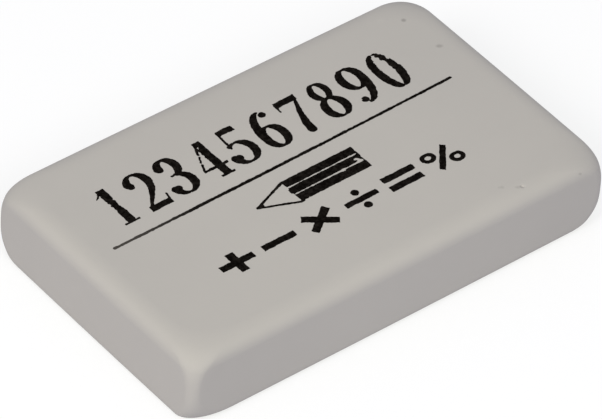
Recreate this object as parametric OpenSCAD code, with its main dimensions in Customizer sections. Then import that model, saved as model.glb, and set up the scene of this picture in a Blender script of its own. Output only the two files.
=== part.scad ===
// Flat white eraser: one moulded block with rounded edges and worn corners.
// It lies flat on z = 0, with the origin under the middle of its underside.
// Length runs along X, width along Y. Sizes are in millimetres.

/* [Block] */
// Overall length of the block
block_length = 40; // [25:0.5:65]
// Overall width of the block
block_width = 24.3; // [16:0.1:40]
// Overall height of the block
block_height = 6.7; // [5:0.1:16]

/* [Rounded edges] */
// Radius of the rounding all round the top face
top_edge_radius = 1.3; // [0.3:0.1:2.2]
// Radius of the rounding all round the underside
bottom_edge_radius = 0.6; // [0.2:0.1:2.2]
// Radius of the four upright edges, halfway up the block
upright_edge_radius = 1.1; // [0.3:0.1:3]

/* [Worn corners] */
// Corner radius of the top face, seen from above
top_corner_radius = 4; // [3:0.1:5]
// Corner radius of the underside, seen from above
bottom_corner_radius = 3.4; // [3:0.1:5]
// How closely the wear keeps to the top and bottom, 1 being all the way up
wear_power = 3; // [1:0.5:5]

/* [Smoothness] */
// Facets round each corner
corner_facets = 10; // [4:1:16]
// Facets over each rounded edge
edge_facets = 6; // [3:1:10]
// Facets up the flat of each side
side_facets = 8; // [2:1:12]

/* [Hidden] */

block_colour = "gainsboro";
quarter_turn = 90;
middle = block_height / 2;
flat_side_height = block_height - top_edge_radius - bottom_edge_radius;

// Which way each corner lies from the middle, anticlockwise from +X +Y.
corner_directions = [[1, 1], [-1, 1], [-1, -1], [1, -1]];

// Every section is one height and how far its sides are drawn in there.
bottom_sections = [
    for (step = [0 : edge_facets])
        let (slope = quarter_turn * (1 - step / edge_facets))
            [bottom_edge_radius * (1 - sin(slope)), bottom_edge_radius * (1 - cos(slope))]
];
side_sections = [
    for (step = [1 : side_facets - 1])
        [bottom_edge_radius + flat_side_height * step / side_facets, 0]
];
top_sections = [
    for (step = [0 : edge_facets])
        let (slope = quarter_turn * step / edge_facets)
            [block_height - top_edge_radius * (1 - sin(slope)), top_edge_radius * (1 - cos(slope))]
];
sections = concat(bottom_sections, side_sections, top_sections);

section_points = len(corner_directions) * (corner_facets + 1);
last_section = len(sections) - 1;

// From 0 halfway up the block to 1 at its top and its underside.
function wear(height) = pow(abs(height - middle) / middle, wear_power);

// Corner radius of the face that a height is nearer to.
function worn_radius(height) = height > middle ? top_corner_radius : bottom_corner_radius;

// Corner radius at a height: tight halfway up, wider towards the worn ends.
function corner_radius(height) =
    upright_edge_radius + (worn_radius(height) - upright_edge_radius) * wear(height);

// One section's outline: a rounded rectangle, anticlockwise from above.
function outline(height, inset) =
    let (radius = corner_radius(height))
    [
        for (corner = [0 : len(corner_directions) - 1], step = [0 : corner_facets])
            let (
                turn = quarter_turn * (corner + step / corner_facets),
                side = corner_directions[corner]
            )
            [
                side.x * (block_length / 2 - inset - radius) + radius * cos(turn),
                side.y * (block_width / 2 - inset - radius) + radius * sin(turn),
                height
            ]
    ];

// Number of a point, counted round one section and wrapping at its end.
function point_index(section, point) = section * section_points + point % section_points;

module eraser_block() {
    points = [for (section = sections) each outline(section[0], section[1])];
    underside = [for (point = [0 : section_points - 1]) point_index(0, point)];
    top_face = [for (point = [section_points - 1 : -1 : 0]) point_index(last_section, point)];
    walls = [
        for (section = [0 : last_section - 1], point = [0 : section_points - 1])
            [
                point_index(section, point),
                point_index(section + 1, point),
                point_index(section + 1, point + 1),
                point_index(section, point + 1)
            ]
    ];
    color(block_colour)
        polyhedron(points = points, faces = concat([underside, top_face], walls), convexity = 1);
}

eraser_block();
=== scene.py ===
import math

import bmesh
import bpy
import numpy as np
from mathutils import Matrix, Vector
from mathutils.geometry import delaunay_2d_cdt


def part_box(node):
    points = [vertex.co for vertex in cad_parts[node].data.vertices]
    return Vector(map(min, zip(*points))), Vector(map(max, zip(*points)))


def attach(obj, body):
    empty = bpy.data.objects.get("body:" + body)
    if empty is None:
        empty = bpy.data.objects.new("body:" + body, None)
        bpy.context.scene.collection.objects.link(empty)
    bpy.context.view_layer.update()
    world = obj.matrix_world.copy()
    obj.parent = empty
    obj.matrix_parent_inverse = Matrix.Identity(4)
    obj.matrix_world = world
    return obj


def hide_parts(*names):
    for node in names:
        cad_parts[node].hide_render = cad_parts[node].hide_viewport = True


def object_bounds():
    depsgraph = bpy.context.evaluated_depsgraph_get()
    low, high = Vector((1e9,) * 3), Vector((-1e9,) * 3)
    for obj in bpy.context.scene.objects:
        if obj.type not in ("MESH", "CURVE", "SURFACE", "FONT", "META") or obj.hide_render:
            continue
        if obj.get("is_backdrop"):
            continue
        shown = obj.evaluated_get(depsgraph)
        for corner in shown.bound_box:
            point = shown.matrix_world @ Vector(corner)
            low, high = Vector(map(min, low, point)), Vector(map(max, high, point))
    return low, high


# A flat white eraser with black pad printing, on a pale table under soft light.
# Lengths are in millimetres here, and become metres where a mesh, lamp or camera is made.
# Colours are linear red, green and blue, with a 1 for opaque.
# The printing is drawn flat, seen from above, from the middle of the top face.

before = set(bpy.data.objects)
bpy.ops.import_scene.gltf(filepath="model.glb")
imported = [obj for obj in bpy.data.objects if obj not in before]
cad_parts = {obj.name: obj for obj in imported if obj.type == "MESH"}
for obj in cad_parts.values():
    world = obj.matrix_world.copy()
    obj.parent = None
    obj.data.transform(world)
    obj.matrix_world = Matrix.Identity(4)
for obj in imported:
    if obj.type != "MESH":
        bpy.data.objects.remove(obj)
cad_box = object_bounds()

MM = 0.001
# Points closer than this are one point.
MERGING = 1e-4

# The block's outer sizes come from the frame.
BLOCK_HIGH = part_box("eraser_block")[1] / MM
HALF_LENGTH = BLOCK_HIGH.x
HALF_WIDTH = BLOCK_HIGH.y
BLOCK_HEIGHT = BLOCK_HIGH.z

# How the block is rounded and worn. The top edge is tightest halfway round its rounding,
# and runs out slowly into the top face and, less so, into the wall.
TOP_EDGE_RADIUS = 0.955
TOP_EASING = 3.4
WALL_EASING = 1.15
EASING_POWER = 24
BOTTOM_EDGE_RADIUS = 0.6
WEAR_POWER = 3
SIDE_BOW = 0.04
# How far each corner's rounding reaches along X and along Y, from the near left corner
# anticlockwise: at the top, halfway up and at the underside.
TOP_CORNERS = np.array([(3.28, 3.28), (4.0, 4.0), (4.0, 4.0), (3.8, 3.8)])
UPRIGHT_EDGES = np.array([(0.9, 0.9), (0.95, 0.95), (1.1, 1.1), (1.05, 1.05)])
BOTTOM_CORNERS = np.array([(4.8, 2.1), (3.4, 3.4), (3.4, 3.4), (3.2, 3.2)])

# A small nick by the near top edge: its middle, radius and depth, and which way it faces.
NICK_PLACE = Vector((12.29, -11.0, 6.62))
NICK_RADIUS, NICK_DEPTH = 0.2, 0.13
NICK_FACING = Vector((0, -0.2, 1)).normalized()

# How finely its shape is worked out, as steps round an edge, and then how finely it is meshed.
PROFILE_STEPS = 900
HALF_CORNER_STEPS = 12
LONG_SIDE_STEPS = 64
SHORT_SIDE_STEPS = 40
WALL_STEPS = 18
TOP_EDGE_STEPS = 44
BOTTOM_EDGE_STEPS = 8
# The long sides are meshed more finely by the nick, from one share of their length to another.
FINE_START, FINE_END, FINE_STEPS = 0.9, 0.926, 14

# The film of ink stands this far above the vinyl, and is let this far into it.
INK_RELIEF = 0.008
INK_DEPTH = 0.03
TOP_HEIGHT = BLOCK_HEIGHT - INK_RELIEF


def eased(share):
    """A share from 0 to 1 with a smooth start and end."""
    return share**2 * (3 - 2 * share)


# ------------------------------------------------------------------ shader helper


class Signal:
    """One output of a shader node. Arithmetic on it adds Math nodes."""

    def __init__(self, nodes, socket):
        self.nodes = nodes
        self.socket = socket

    def maths(self, operation, *values):
        return self.nodes.add("ShaderNodeMath", {"operation": operation}, enumerate(values))

    def __add__(self, other):
        return self.maths("ADD", self, other)

    def __sub__(self, other):
        return self.maths("SUBTRACT", self, other)

    def __rsub__(self, other):
        return self.maths("SUBTRACT", other, self)

    def __mul__(self, other):
        return self.maths("MULTIPLY", self, other)

    def __or__(self, other):
        return self.maths("MAXIMUM", self, other)

    __radd__ = __add__
    __rmul__ = __mul__
    __ror__ = __or__


class Nodes:
    """A node tree that is filled one node at a time."""

    def __init__(self, tree):
        self.tree = tree
        tree.nodes.clear()

    def add(self, kind, settings=(), sockets=(), output=0):
        """Adds a node, its settings first and then the values or links of its sockets."""
        node = self.tree.nodes.new(kind)
        for name, value in dict(settings).items():
            setattr(node, name, value)
        for name, value in dict(sockets).items():
            if isinstance(value, Signal):
                self.tree.links.new(value.socket, node.inputs[name])
            else:
                node.inputs[name].default_value = value
        return Signal(self, node.outputs[output]) if node.outputs else None

    def blend(self, share, first, second):
        """A colour that goes from first to second as share goes from 0 to 1."""
        sockets = {"Factor": share, "A": first, "B": second}
        return self.add("ShaderNodeMix", {"data_type": "RGBA"}, sockets, "Result")

    def noise(self, place, per_mm, detail=2, roughness=0.5):
        """Even noise around 0.5, with per_mm of its waves to a millimetre."""
        sockets = {"Vector": place, "Scale": per_mm, "Detail": detail, "Roughness": roughness}
        return self.add("ShaderNodeTexNoise", {"noise_dimensions": "3D"}, sockets)

    def rise(self, value, start, end):
        """0 where value is below start, 1 where it is past end, and smooth between."""
        sockets = {"Value": value, "From Min": start, "From Max": end}
        return self.add("ShaderNodeMapRange", {"interpolation_type": "SMOOTHSTEP"}, sockets)

    def seen(self):
        """1 for the camera's own rays and those it gets off gloss or through glass, or else 0."""
        rays = ("Is Camera Ray", "Is Glossy Ray", "Is Transmission Ray")
        camera, gloss, glass = (self.add("ShaderNodeLightPath", output=ray) for ray in rays)
        return camera | gloss | glass

    def vectors(self, operation, sockets, output=0):
        """A vector worked out from others, or the number that comes out of them."""
        return self.add("ShaderNodeVectorMath", {"operation": operation}, sockets, output)

    def distance(self, first, second):
        """How far apart two points are."""
        return self.vectors("DISTANCE", {0: first, 1: second}, "Value")

    def place_in_mm(self):
        """Where a point of the object is, in millimetres."""
        place = self.add("ShaderNodeTexCoord", output="Object")
        return self.vectors("SCALE", {0: place, "Scale": 1 / MM})

    def surface(self, colour, roughness, gloss, normal=None):
        """Ends the tree with an opaque surface."""
        sockets = {"Base Color": colour, "Roughness": roughness, "Specular IOR Level": gloss}
        if normal:
            sockets["Normal"] = normal
        self.output(self.add("ShaderNodeBsdfPrincipled", sockets=sockets))

    def output(self, shader, kind="ShaderNodeOutputMaterial"):
        """Ends the tree with a shader."""
        self.add(kind, sockets={"Surface": shader})


def new_material(name):
    """A new material, and its node tree to fill."""
    material = bpy.data.materials.new(name)
    material.use_nodes = True
    return material, Nodes(material.node_tree)


# ------------------------------------------------------------------ materials

BLACK = (0, 0, 0, 1)
WHITE = (1, 1, 1, 1)

VINYL = (0.482, 0.466, 0.434, 1)
VINYL_GREY = (0.462, 0.447, 0.419, 1)
VINYL_GLOSS = 0.3
# How rough it is where it is smoothest, how much rougher it gets in patches, and how many
# patches there are to a millimetre.
VINYL_ROUGHNESS, VINYL_ROUGHENING, ROUGH_PATCHES_PER_MM = 0.7, 0.2, 0.5
# The vinyl greys in faint clouds, and away from a point on its top: it is palest around that
# point, and greys from so far off to so far off.
CLOUD_SHARE, AWAY_GREY_SHARE = 0.35, 0.65
CLOUDS_PER_MM, CLOUD_RANGE = 0.16, (0.3, 0.7)
PALEST_PLACE, GREYING_REACH = (0, -6, 6.7), (8, 20)
# The vinyl's fine grain, and the faint ripple under it.
GRAINS_PER_MM, GRAIN_HEIGHT = 4.5, 0.0025
RIPPLES_PER_MM, RIPPLE_HEIGHT = 0.45, 0.01

INK = (0.0016, 0.001, 0.0006, 1)
INK_THIN = (0.017, 0.0145, 0.012, 1)
INK_PALE = (0.066, 0.06, 0.054, 1)
INK_GLOSS = 0.015
INK_ROUGHNESS, INK_ROUGHENING, ROUGH_SPOTS_PER_MM = 0.55, 0.2, 5
# How the film's thin spots are scattered.
THIN_SPOTS_PER_MM, THIN_SPOT_RANGE = 3.2, (0.38, 0.8)
# The pad left only a pale film of ink at the ruled line's left end: around this point, for
# so far across the line, and four times as far along it.
PALE_PLACE, PALE_SQUEEZE = Vector((-17.5, 1.0, 6.7)), Vector((0.25, 1, 1))
PALE_REACH = (0, 2.5)

# Specks pressed into the vinyl, and one spot of painted shade in the nick. A speck is darkest out
# to the first of these shares of its radius, and gone at the second.
SPECK_AND_SHADE = (0.235, 0.225, 0.21, 1)
SPECK_CORE, SPECK_RIM = 0.35, 1.6
# Each speck's x, y and z, radius, and how dark it is.
SPECKS_AND_NICK_SHADE = (
    (17.02, 9.06, 6.7, 0.18, 0.65),
    (17.36, 5.1, 6.7, 0.19, 0.45),
    (17.2, 5.17, 6.7, 0.14, 0.2),
    (17.54, 5.0, 6.7, 0.14, 0.2),
    # This one lies in the nick: partly a dark mark, partly painted shade in the nick's hollow.
    (12.19, -11.01, 6.6, 0.13, 0.28),
    (11.95, -10.92, 6.65, 0.14, 0.25),
    (11.8, -10.83, 6.67, 0.12, 0.14),
    (10.92, -10.26, 6.69, 0.15, 0.24),
    (10.72, -10.14, 6.69, 0.12, 0.17),
    (17.19, -11.99, 6.05, 0.085, 0.35),
    (17.31, -11.99, 5.99, 0.085, 0.35),
)


def vinyl_material():
    """Matt white vinyl: faintly greyer in clouds and further from a point on its top, with a fine
    grain, a few dark specks and painted shade in the nick.
    """
    material, nodes = new_material("white_vinyl")
    place = nodes.place_in_mm()
    cloud = nodes.rise(nodes.noise(place, CLOUDS_PER_MM, detail=3), *CLOUD_RANGE)
    # Palest around a point on the top, and greyer further off.
    greyed_away = nodes.rise(nodes.distance(place, PALEST_PLACE), *GREYING_REACH)
    grey = CLOUD_SHARE * cloud + AWAY_GREY_SHARE * greyed_away
    colour = nodes.blend(grey, VINYL, VINYL_GREY)
    # Dark specks, and painted shade in the nick.
    for x, y, z, radius, darkness in SPECKS_AND_NICK_SHADE:
        away = nodes.distance(place, (x, y, z))
        clear = nodes.rise(away, SPECK_CORE * radius, SPECK_RIM * radius)
        colour = nodes.blend((1 - clear) * darkness, colour, SPECK_AND_SHADE)

    patches = nodes.noise(place, ROUGH_PATCHES_PER_MM, detail=3)
    roughness = VINYL_ROUGHNESS + VINYL_ROUGHENING * patches
    grain = nodes.noise(place, GRAINS_PER_MM, detail=4, roughness=0.6)
    ripple = nodes.noise(place, RIPPLES_PER_MM)
    relief = GRAIN_HEIGHT * MM * grain + RIPPLE_HEIGHT * MM * ripple
    normal = nodes.add("ShaderNodeBump", sockets={"Distance": 1.0, "Height": relief})
    nodes.surface(colour, roughness, VINYL_GLOSS, normal)
    return material


def ink_material():
    """Thin black printing ink, dull and a little uneven."""
    material, nodes = new_material("printing_ink")
    place = nodes.place_in_mm()
    spots = nodes.noise(place, THIN_SPOTS_PER_MM, detail=3, roughness=0.7)
    thin = nodes.rise(spots, *THIN_SPOT_RANGE)
    squeezed = nodes.vectors("MULTIPLY", {0: place, 1: PALE_SQUEEZE})
    full = nodes.rise(nodes.distance(squeezed, PALE_PLACE * PALE_SQUEEZE), *PALE_REACH)
    colour = nodes.blend(full, INK_PALE, nodes.blend(thin, INK, INK_THIN))
    roughness = INK_ROUGHNESS + INK_ROUGHENING * nodes.noise(place, ROUGH_SPOTS_PER_MM)
    nodes.surface(colour, roughness, INK_GLOSS)
    return material


# ------------------------------------------------------------------ the block


def wear(height):
    """From 0 halfway up the block to 1 at its top and its underside."""
    middle = BLOCK_HEIGHT / 2
    return abs(height - middle) ** WEAR_POWER / middle**WEAR_POWER


def corner_radii(height):
    """Each corner's radii along X and Y: tight halfway up, wider where it is worn."""
    worn = TOP_CORNERS if height > BLOCK_HEIGHT / 2 else BOTTOM_CORNERS
    return UPRIGHT_EDGES + (worn - UPRIGHT_EDGES) * wear(height)


def rounded_edge(radius, steps, flat_easing=0, wall_easing=0):
    """How far in and how far up an edge's rounding has come, at even steps from wall to flat."""
    turn = math.pi / 2 / PROFILE_STEPS
    slopes = (np.arange(PROFILE_STEPS) + 0.5) * turn
    at_flat, at_wall = np.sin(slopes) ** EASING_POWER, np.cos(slopes) ** EASING_POWER
    easing = flat_easing * at_flat + wall_easing * at_wall
    lengths = radius * turn * (1 + easing)
    inward = np.concatenate([[0], np.cumsum(lengths * np.sin(slopes))])
    upward = np.concatenate([[0], np.cumsum(lengths * np.cos(slopes))])
    travelled = np.concatenate([[0], np.cumsum(lengths)])
    stops = np.linspace(0, travelled[-1], steps + 1)
    return np.interp(stops, travelled, inward), np.interp(stops, travelled, upward)


def block_profile():
    """The block's sections from bottom to top, each as how far in it is and its height."""
    inward, upward = rounded_edge(BOTTOM_EDGE_RADIUS, BOTTOM_EDGE_STEPS)
    wall_foot = upward[-1]
    bottom = list(zip(inward[::-1], wall_foot - upward[::-1]))
    inward, upward = rounded_edge(TOP_EDGE_RADIUS, TOP_EDGE_STEPS, TOP_EASING, WALL_EASING)
    wall_head = TOP_HEIGHT - upward[-1]
    top = list(zip(inward, wall_head + upward))
    wall = [(0, height) for height in np.linspace(wall_foot, wall_head, WALL_STEPS + 1)[1:-1]]
    return bottom + wall + top


def side_shares(number):
    """How far along a side its points are, from 0 to 1, leaving out its two corners."""
    if number % 2:
        return np.linspace(0, 1, SHORT_SIDE_STEPS + 1)
    even = np.linspace(0, 1, LONG_SIDE_STEPS + 1)
    fine = np.linspace(FINE_START, FINE_END, FINE_STEPS + 1)
    shares = np.sort(np.concatenate([even[(even < FINE_START) | (even > FINE_END)], fine]))
    # The far side runs the other way.
    return 1 - shares[::-1] if number else shares


def section_sides(inset, height):
    """The four sides of a section, anticlockwise from the near long one.

    Each runs from the middle of one corner to the middle of the next.
    """
    half_sizes = (HALF_LENGTH - inset, HALF_WIDTH - inset)
    lean_in = np.linspace(-math.pi / 4, 0, HALF_CORNER_STEPS + 1)
    sides = []
    for number in range(4):
        axes = [number % 2, 1 - number % 2]
        run, reach = half_sizes[axes[0]], half_sizes[axes[1]]
        first, last = corner_radii(height)[[number, (number + 1) % 4]][:, axes]
        shares = np.pad(side_shares(number), HALF_CORNER_STEPS, mode="edge")[:, None]
        slide = (first[0] - run + shares * (2 * run - first[0] - last[0]))[:, 0]
        radii = first + shares * (last - first)
        straight = len(shares) - 2 * HALF_CORNER_STEPS
        lean = np.concatenate([lean_in[:-1], np.zeros(straight), -lean_in[-2::-1]])
        along = slide + radii[:, 0] * np.sin(lean)
        outward = reach - radii[:, 1] * (1 - np.cos(lean))
        angle = number * math.pi / 2
        x = along * math.cos(angle) + outward * math.sin(angle)
        y = along * math.sin(angle) - outward * math.cos(angle)
        sides.append(np.column_stack([x, y, np.full_like(x, height)]))
    return sides


def flat_grid(sides):
    """A grid of points that fills the space between four sides."""
    near, right = sides[0], sides[1]
    far, left = sides[2][::-1], sides[3][::-1]
    across = np.linspace(0, 1, len(near))[None, :, None]
    up = np.linspace(0, 1, len(left))[:, None, None]
    between_long = (1 - up) * near[None] + up * far[None]
    between_short = (1 - across) * left[:, None] + across * right[:, None]
    ends = (1 - across) * between_long[:, :1] + across * between_long[:, -1:]
    return between_long + between_short - ends


def bowed(point):
    """The point in metres. The sides swell by a hair in the middle: their ends are drawn in."""
    x, y, z = point
    x_share, y_share = x / HALF_LENGTH, y / HALF_WIDTH
    x -= SIDE_BOW * x_share * y_share**2
    y -= SIDE_BOW * y_share * x_share**2
    return Vector((x, y, z)) * MM


def nicked(point):
    """A point in metres, pressed in if it is at the nick."""
    near = max(1 - (point / MM - NICK_PLACE).length / NICK_RADIUS, 0)
    return point - NICK_FACING * NICK_DEPTH * MM * eased(near)


def make_object(name, shape, material):
    """A new object with the shape as its mesh, which uses the shape up."""
    mesh = bpy.data.meshes.new(name)
    shape.to_mesh(mesh)
    shape.free()
    mesh.materials.append(material)
    thing = bpy.data.objects.new(name, mesh)
    bpy.context.scene.collection.objects.link(thing)
    return thing


def make_piece(name, shape, material):
    """An object that is a piece of the eraser."""
    piece = make_object(name, shape, material)
    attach(piece, "root")
    return piece


def make_block(material):
    """The moulded block, as one closed skin of four-sided faces."""
    shape = bmesh.new()

    def add_faces(rows, closed):
        grid = [[shape.verts.new(nicked(bowed(point))) for point in row] for row in rows]
        columns = len(grid[0])
        for low_row, high_row in zip(grid, grid[1:]):
            for here in range(columns if closed else columns - 1):
                after = (here + 1) % columns
                corners = (low_row[here], low_row[after], high_row[after], high_row[here])
                shape.faces.new(corners).smooth = True

    sections = [section_sides(inset, height) for inset, height in block_profile()]
    rings = [np.concatenate([side[:-1] for side in sides]) for sides in sections]
    add_faces(rings, closed=True)
    add_faces(flat_grid(sections[-1]), closed=False)
    add_faces(flat_grid(sections[0])[::-1], closed=False)
    bmesh.ops.remove_doubles(shape, verts=shape.verts, dist=MERGING * MM)

    piece = make_piece("eraser_body", shape, material)
    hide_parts("eraser_block")


# ------------------------------------------------------------------ the printing

# How far the whole print is turned on the block.
PRINT_TILT = math.radians(0.6)
# The ink's outline is found on a grid of this pitch, with this much room around the strokes.
PITCH = 0.045
MARGIN = 0.4
# A point of an outline keeps at least this share of the pitch clear of the grid's own points.
CLEARANCE = 0.05
# Spots of ink and pinholes in it whose outline has fewer points than this are left out.
SHORTEST_LOOP = 16

# Where each part of the printing lies.
NUMBER_BASE = 2.9
NUMBER_HEIGHT = 4.35
NUMBER_WIDTH = 2.45
NUMBERS_START, NUMBERS_END = -15.3, 13.6
RULE_START, RULE_END, RULE_HEIGHT = -17.0, 15.72, 1.43
SIGN_MIDDLE = -5.11
SIGN_HEIGHT = 2.2
SIGN_WIDTH = 3.1
SIGNS_START, SIGNS_END = -12.1, 10.9

# Places where the pad left less ink: x, y, radius and how much is missing.
STARVED = (
    (13.1, 6.4, 1.3, 0.2),
    (-6.1, 5.6, 1.0, 0.13),
    (-14.3, 5.2, 1.1, 0.13),
    (3.9, -1.42, 0.28, 0.62),
    (2.3, -1.84, 0.16, 0.18),
)

# The roughness of the print, in layers of noise: how strong each is, its size and its seed.
EDGE_LAYERS = ((0.026, 0.3, 1), (0.022, 0.12, 2))
PINHOLE_LAYERS = ((1, 0.15, 3), (0.5, 0.5, 4))
PATCH_LAYERS = ((0.9, 0.2, 5),)
# Pinholes open where their noise passes a level, and the starved places are patchy around
# a middle value.
PINHOLE_LEVEL, PINHOLE_DEPTH = 1.12, 1.2
PATCH_MIDDLE = 0.5


def lattice_noise(x, y, size, seed):
    """Smooth random values around 0, in waves of about a size, the same on every run."""
    cells = 256
    table = np.random.default_rng(seed).uniform(-1, 1, (cells, cells))
    column, row = np.floor(x / size).astype(int), np.floor(y / size).astype(int)
    across, up = eased(x / size - column), eased(y / size - row)

    def along(line):
        here = table[line % cells, column % cells]
        after = table[line % cells, (column + 1) % cells]
        return here * (1 - across) + after * across

    return along(row) * (1 - up) + along(row + 1) * up


def layered_noise(x, y, layers):
    """Several layers of noise on top of each other."""
    return sum(strength * lattice_noise(x, y, size, seed) for strength, size, seed in layers)


def missing_ink(x, y):
    """How far the ink's edge draws back at a place: the print is rough, and starved in places."""
    missing = layered_noise(x, y, EDGE_LAYERS)
    pinholes = layered_noise(x, y, PINHOLE_LAYERS) - PINHOLE_LEVEL
    missing = missing + PINHOLE_DEPTH * np.maximum(pinholes, 0)
    patchy = np.maximum(PATCH_MIDDLE + layered_noise(x, y, PATCH_LAYERS), 0)
    for spot_x, spot_y, radius, amount in STARVED:
        near = np.exp(-((x - spot_x) ** 2 + (y - spot_y) ** 2) / radius**2)
        missing = missing + amount * near * patchy
    return missing


# Every kind of stroke has a box around it, and knows how far from its edge points are, with
# less than 0 for points inside it.


class Bar:
    """A straight stroke with square ends."""

    def __init__(self, start, end, width):
        self.start, self.end, self.width = np.array(start), np.array(end), width

    def box(self):
        low = np.minimum(self.start, self.end) - self.width
        return low, np.maximum(self.start, self.end) + self.width

    def distance(self, x, y):
        run = self.end - self.start
        length = np.hypot(*run)
        along, across = run / length, np.array([-run[1], run[0]]) / length
        middle = (self.start + self.end) / 2
        x, y = x - middle[0], y - middle[1]
        past_end = abs(x * along[0] + y * along[1]) - length / 2
        past_side = abs(x * across[0] + y * across[1]) - self.width / 2
        outside = np.hypot(np.maximum(past_end, 0), np.maximum(past_side, 0))
        return outside + np.minimum(np.maximum(past_end, past_side), 0)


class Brush:
    """A round-ended stroke through points, with a width at each point."""

    def __init__(self, points, widths):
        self.points = np.array(points, float)
        self.widths = np.broadcast_to(widths, len(points))

    def box(self):
        reach = self.widths.max()
        return self.points.min(0) - reach, self.points.max(0) + reach

    def distance(self, x, y):
        nearest = np.full(x.shape, np.inf)
        for number in range(len(self.points) - 1):
            start, run = self.points[number], self.points[number + 1] - self.points[number]
            share = ((x - start[0]) * run[0] + (y - start[1]) * run[1]) / (run @ run)
            share = np.clip(share, 0, 1)
            away = np.hypot(x - start[0] - share * run[0], y - start[1] - share * run[1])
            width = self.widths[number] * (1 - share) + self.widths[number + 1] * share
            nearest = np.minimum(nearest, away - width / 2)
        return nearest


def dot(centre, radius):
    """A round spot, as the shortest of strokes."""
    x, y = centre
    nudge = 0.01
    return Brush([(x, y), (x + nudge, y)], 2 * radius)


# A broad pen's thickest and thinnest line, and how soon it turns from thin to thick.
THICK, THIN = 0.74, 0.24
PEN_TURN = 1.6
# An arc has a point every so many degrees, and no fewer steps than this.
ARC_STEP, FEWEST_STEPS = 9, 6


def pen_arc(centre, radii, start, end, thick=THICK, thin=THIN):
    """Part of an oval as a broad pen draws it: thick going up or down, thin going across."""
    steps = max(FEWEST_STEPS, round(abs(end - start) / ARC_STEP))
    angles = np.radians(np.linspace(start, end, steps + 1))
    points = np.column_stack([
        centre[0] + radii[0] * np.cos(angles),
        centre[1] + radii[1] * np.sin(angles),
    ])
    run = np.column_stack([-radii[0] * np.sin(angles), radii[1] * np.cos(angles)])
    upright = abs(run[:, 1]) / np.hypot(run[:, 0], run[:, 1])
    return Brush(points, thin + (thick - thin) * upright**PEN_TURN)


def turned(stroke, box):
    """A brush stroke turned half round within its box."""
    return Brush(np.array(box) - stroke.points, stroke.widths)


def numerals():
    """The strokes of the numerals 1 to 9 and 0, each in a box with 0, 0 at its lower left."""
    one = [
        Bar((1.24, 0.05), (1.24, 4.3), THICK),
        Bar((0.55, 0.1), (1.93, 0.1), 0.2),
        Brush([(0.45, 3.5), (0.82, 3.78), (1.1, 4.2)], (0.16, 0.22, 0.22)),
    ]
    two = [
        pen_arc((1.15, 3.15), (0.82, 1.06), 165, -12),
        Brush([(1.95, 2.93), (1.76, 2.3), (1.2, 1.45), (0.38, 0.42)], (0.68, 0.6, 0.4, 0.22)),
        Bar((0.18, 0.3), (2.2, 0.3), 0.6),
        Brush([(2.12, 0.5), (2.24, 1.1)], (0.22, 0.16)),
        dot((0.48, 3.18), 0.32),
    ]
    three = [
        pen_arc((1.08, 3.24), (0.72, 0.97), 165, -80),
        pen_arc((1.02, 1.24), (0.93, 1.1), 88, -165),
        Brush([(0.78, 2.3), (1.22, 2.3)], 0.2),
        dot((0.44, 3.36), 0.3),
        dot((0.36, 0.95), 0.33),
    ]
    four = [
        Bar((1.58, 0.05), (1.58, 4.3), THICK),
        Brush([(1.4, 4.15), (0.22, 1.32)], 0.22),
        Bar((0.1, 1.2), (2.38, 1.2), 0.28),
        Bar((0.95, 0.1), (2.2, 0.1), 0.2),
    ]
    five = [
        Bar((0.56, 4.0), (2.08, 4.0), 0.6),
        Brush([(0.6, 4.15), (0.5, 2.15)], 0.22),
        pen_arc((1.0, 1.33), (1.0, 1.2), 122, -165),
        dot((0.37, 0.95), 0.33),
    ]
    six = [
        pen_arc((1.22, 1.32), (0.82, 1.2), 0, 360),
        pen_arc((1.66, 1.5), (1.26, 2.72), 92, 180),
        dot((1.84, 3.8), 0.32),
    ]
    seven = [
        Bar((0.26, 3.97), (2.28, 3.97), 0.64),
        Brush([(0.34, 4.05), (0.28, 3.2)], (0.22, 0.16)),
        Brush([(2.1, 3.8), (1.5, 2.4), (1.14, 1.1), (1.06, 0.3)], (0.24, 0.46, 0.68, 0.74)),
    ]
    eight = [
        pen_arc((1.2, 3.28), (0.63, 0.92), 0, 360, thick=0.62),
        pen_arc((1.2, 1.22), (0.82, 1.11), 0, 360),
    ]
    zero = [pen_arc((1.22, 2.17), (0.82, 2.06), 0, 360)]
    nine = [turned(stroke, (NUMBER_WIDTH, NUMBER_HEIGHT)) for stroke in six]
    return [one, two, three, four, five, six, seven, eight, nine, zero]


def signs():
    """The strokes of plain arithmetic signs, each around its own middle."""
    across, high, bar = SIGN_WIDTH / 2, SIGN_HEIGHT / 2, 0.62
    level = Bar((-across, 0), (across, 0), bar)
    corner = np.array((1.2, 0.86))
    plus = [level, Bar((0, -high), (0, high), 0.74)]
    times = [Bar(-corner, corner, 0.66), Bar(corner * (-1, 1), corner * (1, -1), 0.66)]
    divide = [Bar((-across, 0), (across, 0), 0.54), dot((0, 0.8), 0.34), dot((0, -0.8), 0.34)]
    equals = [Bar((-across, y), (across, y), bar) for y in (0.54, -0.54)]
    percent = [
        Bar((-0.9, -high), (0.9, high), 0.5),
        pen_arc((-1.0, 0.55), (0.48, 0.38), 0, 360, 0.4, 0.34),
        pen_arc((1.0, -0.55), (0.48, 0.38), 0, 360, 0.4, 0.34),
    ]
    return [plus, [level], times, divide, equals, percent]


def rule():
    """The long ruled line, which the pad laid in a faint curve and inked unevenly."""
    widths = (0.26, 0.265, 0.285, 0.295, 0.285, 0.29, 0.265, 0.27, 0.25)
    stretch = np.linspace(RULE_START, RULE_END, len(widths))
    slope, bend = 0.0055, 0.0003
    heights = RULE_HEIGHT + slope * stretch + bend * stretch**2
    return [Brush(np.column_stack([stretch, heights]), widths)]


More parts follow.
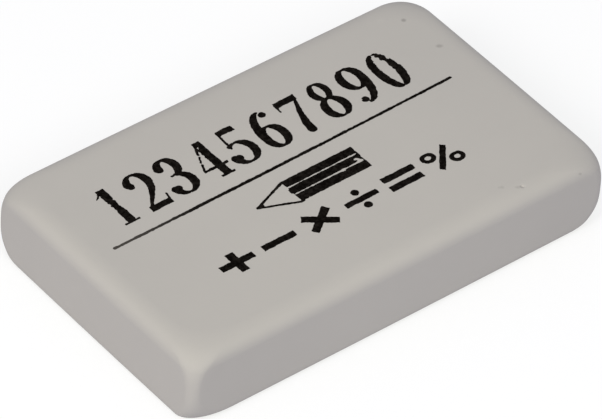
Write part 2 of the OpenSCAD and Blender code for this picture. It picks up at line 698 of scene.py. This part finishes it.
def pencil():
    """The strokes of a plain pencil: a pointed cone and a barrel of three dark faces."""
    tip, shoulder, end, line = -5.64, -2.4, 4.41, 0.225
    faces = ((-0.085, -0.865), (-0.975, -1.735), (-1.855, -2.7))
    high, low = faces[0][0], faces[2][1]
    middle = (high + low) / 2 + 0.01
    strokes = [
        Brush([(shoulder, high - line / 2), (tip, middle)], line),
        Brush([(shoulder + 0.2, low), (shoulder - 0.1, low), (tip, middle)], line),
        Brush([(tip, middle), (tip + 0.42, middle - 0.02)], (0.1, 0.42)),
        Bar((end - 0.07, high), (end - 0.07, low), 0.14),
    ]
    for top, bottom in faces:
        y = (top + bottom) / 2
        strokes.append(Bar((shoulder, y), (end, y), top - bottom))
    bulge = np.mean(faces[1])
    strokes.append(Bar((shoulder - 0.13, bulge), (shoulder + 0.3, bulge), 0.5))
    return strokes


class Moved:
    """A stroke carried to its place."""

    def __init__(self, stroke, shift):
        self.stroke, self.shift = stroke, np.array(shift)

    def box(self):
        low, high = self.stroke.box()
        return low + self.shift, high + self.shift

    def distance(self, x, y):
        return self.stroke.distance(x - self.shift[0], y - self.shift[1])


def ink_outlines(strokes):
    """The outlines of the ink that some strokes leave, as closed loops of points."""
    boxes = [stroke.box() for stroke in strokes]
    low = np.min([box[0] for box in boxes], 0) - MARGIN
    high = np.max([box[1] for box in boxes], 0) + MARGIN
    x, y = np.meshgrid(np.arange(low[0], high[0], PITCH), np.arange(low[1], high[1], PITCH))
    edge = np.min([stroke.distance(x, y) for stroke in strokes], 0) + missing_ink(x, y)
    return [loop * PITCH + low for loop in contour_loops(edge)]


def contour_loops(field):
    """Closed loops along which a grid's values cross 0, with the values below 0 on the left.

    In every cell with corners on both sides of 0, the loops run from one edge that they cross
    to the next.
    """
    inside = field < 0
    corners = ((0, 0), (0, 1), (1, 1), (1, 0))
    rows, columns = inside.shape
    number_inside = sum(
        inside[row : rows - 1 + row, column : columns - 1 + column].astype(int)
        for row, column in corners
    )
    following = {}
    for row, column in np.argwhere(number_inside % len(corners)):
        ring = [(row + r, column + c) for r, c in corners]
        crossings = []
        for here, after in zip(ring, ring[1:] + ring[:1]):
            if inside[here] != inside[after]:
                crossings.append((bool(inside[here]), tuple(sorted((here, after)))))
        # The loops go in where the ring leaves the inside, and out where it next comes back.
        while not crossings[0][0]:
            crossings.append(crossings.pop(0))
        for leaving, entering in zip(crossings[::2], crossings[1::2]):
            following[leaving[1]] = entering[1]
    loops = []
    while following:
        start, edge = following.popitem()
        edges = [start]
        while edge != start:
            edges.append(edge)
            edge = following.pop(edge)
        loops.append(np.array([crossing_point(field, *edge) for edge in edges]))
    return [loop for loop in loops if len(loop) >= SHORTEST_LOOP]


def crossing_point(field, first, second):
    """Where the field is 0 between two neighbouring grid points, as column and row.

    It keeps a little clear of both, so that no two crossings meet.
    """
    share = field[first] / (field[first] - field[second])
    share = np.clip(share, CLEARANCE, 1 - CLEARANCE)
    row = first[0] + share * (second[0] - first[0])
    column = first[1] + share * (second[1] - first[1])
    return column, row


def filled(loops):
    """The points and triangles that fill some closed loops, except for the holes in them."""
    points, rings = [], []
    for loop in loops:
        rings.append(list(range(len(points), len(points) + len(loop))))
        points += [Vector(point) for point in loop]
    inside_without_holes = 2
    drawing = delaunay_2d_cdt(points, [], rings, inside_without_holes, MERGING)
    return drawing[0], drawing[2]


def make_print(name, figures, material):
    """A thin film of ink in the shape of some figures, on the top face."""
    points, triangles = filled([loop for strokes in figures for loop in ink_outlines(strokes)])
    shape = bmesh.new()
    corners = [shape.verts.new((*point, TOP_HEIGHT - INK_DEPTH)) for point in points]
    for triangle in triangles:
        shape.faces.new([corners[number] for number in triangle])
    raised = bmesh.ops.extrude_face_region(shape, geom=shape.faces)["geom"]
    raised = [part for part in raised if isinstance(part, bmesh.types.BMVert)]
    bmesh.ops.translate(shape, verts=raised, vec=(0, 0, INK_RELIEF + INK_DEPTH))
    bmesh.ops.recalc_face_normals(shape, faces=shape.faces)
    shape.transform(Matrix.Scale(MM, 4) @ Matrix.Rotation(PRINT_TILT, 4, "Z"))
    make_piece(name, shape, material)


def row_of(figures, start, end, height):
    """Figures spread evenly along a row, from the first one's place to the last one's."""
    places = np.linspace(start, end, len(figures))
    return [
        [Moved(stroke, (x, height)) for stroke in figure]
        for figure, x in zip(figures, places)
    ]


def make_printing(material):
    """The four parts of the print."""
    numbers = row_of(numerals(), NUMBERS_START, NUMBERS_END - NUMBER_WIDTH, NUMBER_BASE)
    half = SIGN_WIDTH / 2
    sums = row_of(signs(), SIGNS_START + half, SIGNS_END - half, SIGN_MIDDLE)
    make_print("printed_numbers", numbers, material)
    make_print("printed_rule", [rule()], material)
    make_print("printed_pencil", [pencil()], material)
    make_print("printed_signs", sums, material)


# ------------------------------------------------------------------ table, light and camera

TABLE_HALF_SIZE = 2000
TABLE_COLOUR = (0.6, 0.6, 0.7)
# The light that reaches the open table, where 1 is a plain white level.
TABLE_LIGHT = (0.965, 0.95, 0.93)
# How much the camera's view of the table, with the shadow on it, is thinned with white.
TABLE_HAZE = 0.5
# From this far off to that, the table fades into the white behind it.
TABLE_FADE = (80, 300)


def table_material():
    """Pale table: white to the camera, with a faint shadow, and matt to all other light."""
    material, nodes = new_material("pale_table")
    seen = nodes.seen()

    def glow(colour):
        sockets = {"Color": nodes.blend(seen, BLACK, colour), "Strength": 1.0}
        return nodes.add("ShaderNodeEmission", sockets=sockets)

    matt = nodes.add("ShaderNodeBsdfDiffuse", sockets={"Color": (*TABLE_COLOUR, 1)})
    # What the open table lacks to be white.
    lack = [1 - shade * light for shade, light in zip(TABLE_COLOUR, TABLE_LIGHT)]
    lit = nodes.add("ShaderNodeAddShader", sockets={0: matt, 1: glow((*lack, 1))})
    far_off = nodes.rise(nodes.distance(nodes.place_in_mm(), (0, 0, 0)), *TABLE_FADE)
    shares = {0: far_off | TABLE_HAZE * seen, 1: lit, 2: glow(WHITE)}
    nodes.output(nodes.add("ShaderNodeMixShader", sockets=shares))
    return material


def make_table():
    """A wide table top at the height that the block lies on."""
    shape = bmesh.new()
    size = TABLE_HALF_SIZE * MM
    corners = [(-size, -size, 0), (size, -size, 0), (size, size, 0), (-size, size, 0)]
    shape.faces.new([shape.verts.new(corner) for corner in corners])
    table = make_object("table", shape, table_material())
    table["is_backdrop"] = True


SKY_COLOUR = (0.506, 0.505, 0.563, 1)
LAMP_DISTANCE = 600
LAMP_SIZE = 260
# Each lamp's name, power, colour, and the direction that it shines from.
LAMPS = (
    ("left_lamp", 1.497, (1.0, 0.958, 0.834), (-0.754, -0.133, 0.643)),
    ("near_lamp", 1.115, (1.0, 0.986, 0.86), (-0.262, -0.72, 0.643)),
)

CAMERA_AIM = Vector((-0.62, -0.63, 3.35))
CAMERA_DISTANCE = 480.4
CAMERA_AZIMUTH = math.radians(-40.95)
CAMERA_ELEVATION = math.radians(42.27)
CAMERA_ROLL = math.radians(3.79)
CAMERA_LENS, CAMERA_SENSOR = 379.4, 36


def look_along(direction, roll=0.0):
    """The rotation of a lamp or camera that looks along a direction."""
    return direction.to_track_quat("-Z", "Y").to_matrix() @ Matrix.Rotation(roll, 3, "Z")


def set_up(thing, name, position, rotation):
    """Puts a lamp or the camera into the scene."""
    holder = bpy.data.objects.new(name, thing)
    holder.matrix_world = Matrix.Translation(position * MM) @ rotation.to_4x4()
    bpy.context.scene.collection.objects.link(holder)
    return holder


def make_light():
    """Two soft lamps, at the left and the near side, and an even sky that looks white."""
    for name, power, colour, direction in LAMPS:
        lamp = bpy.data.lights.new(name, "AREA")
        lamp.shape = "DISK"
        lamp.size = LAMP_SIZE * MM
        lamp.energy = power
        lamp.color = colour
        away = Vector(direction).normalized()
        set_up(lamp, name, away * LAMP_DISTANCE, look_along(-away))

    world = bpy.data.worlds.new("sky")
    world.use_nodes = True
    bpy.context.scene.world = world
    nodes = Nodes(world.node_tree)
    colour = nodes.blend(nodes.seen(), SKY_COLOUR, WHITE)
    sky = nodes.add("ShaderNodeBackground", sockets={"Color": colour})
    nodes.output(sky, "ShaderNodeOutputWorld")


def make_camera():
    """The camera, well above the table and off the near left corner."""
    scene = bpy.context.scene
    flat = math.cos(CAMERA_ELEVATION)
    away = Vector((
        math.sin(CAMERA_AZIMUTH) * flat,
        -math.cos(CAMERA_AZIMUTH) * flat,
        math.sin(CAMERA_ELEVATION),
    ))
    camera = bpy.data.cameras.new("camera")
    camera.lens = CAMERA_LENS
    camera.sensor_width = CAMERA_SENSOR
    position = CAMERA_AIM + away * CAMERA_DISTANCE
    scene.camera = set_up(camera, "camera", position, look_along(-away, CAMERA_ROLL))
    scene.view_settings.view_transform = "Standard"


make_block(vinyl_material())
make_printing(ink_material())
make_table()
make_light()
make_camera()

boxes = {"cad": cad_box, "visual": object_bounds()}
{name: [list(corner) for corner in box] for name, box in boxes.items()}
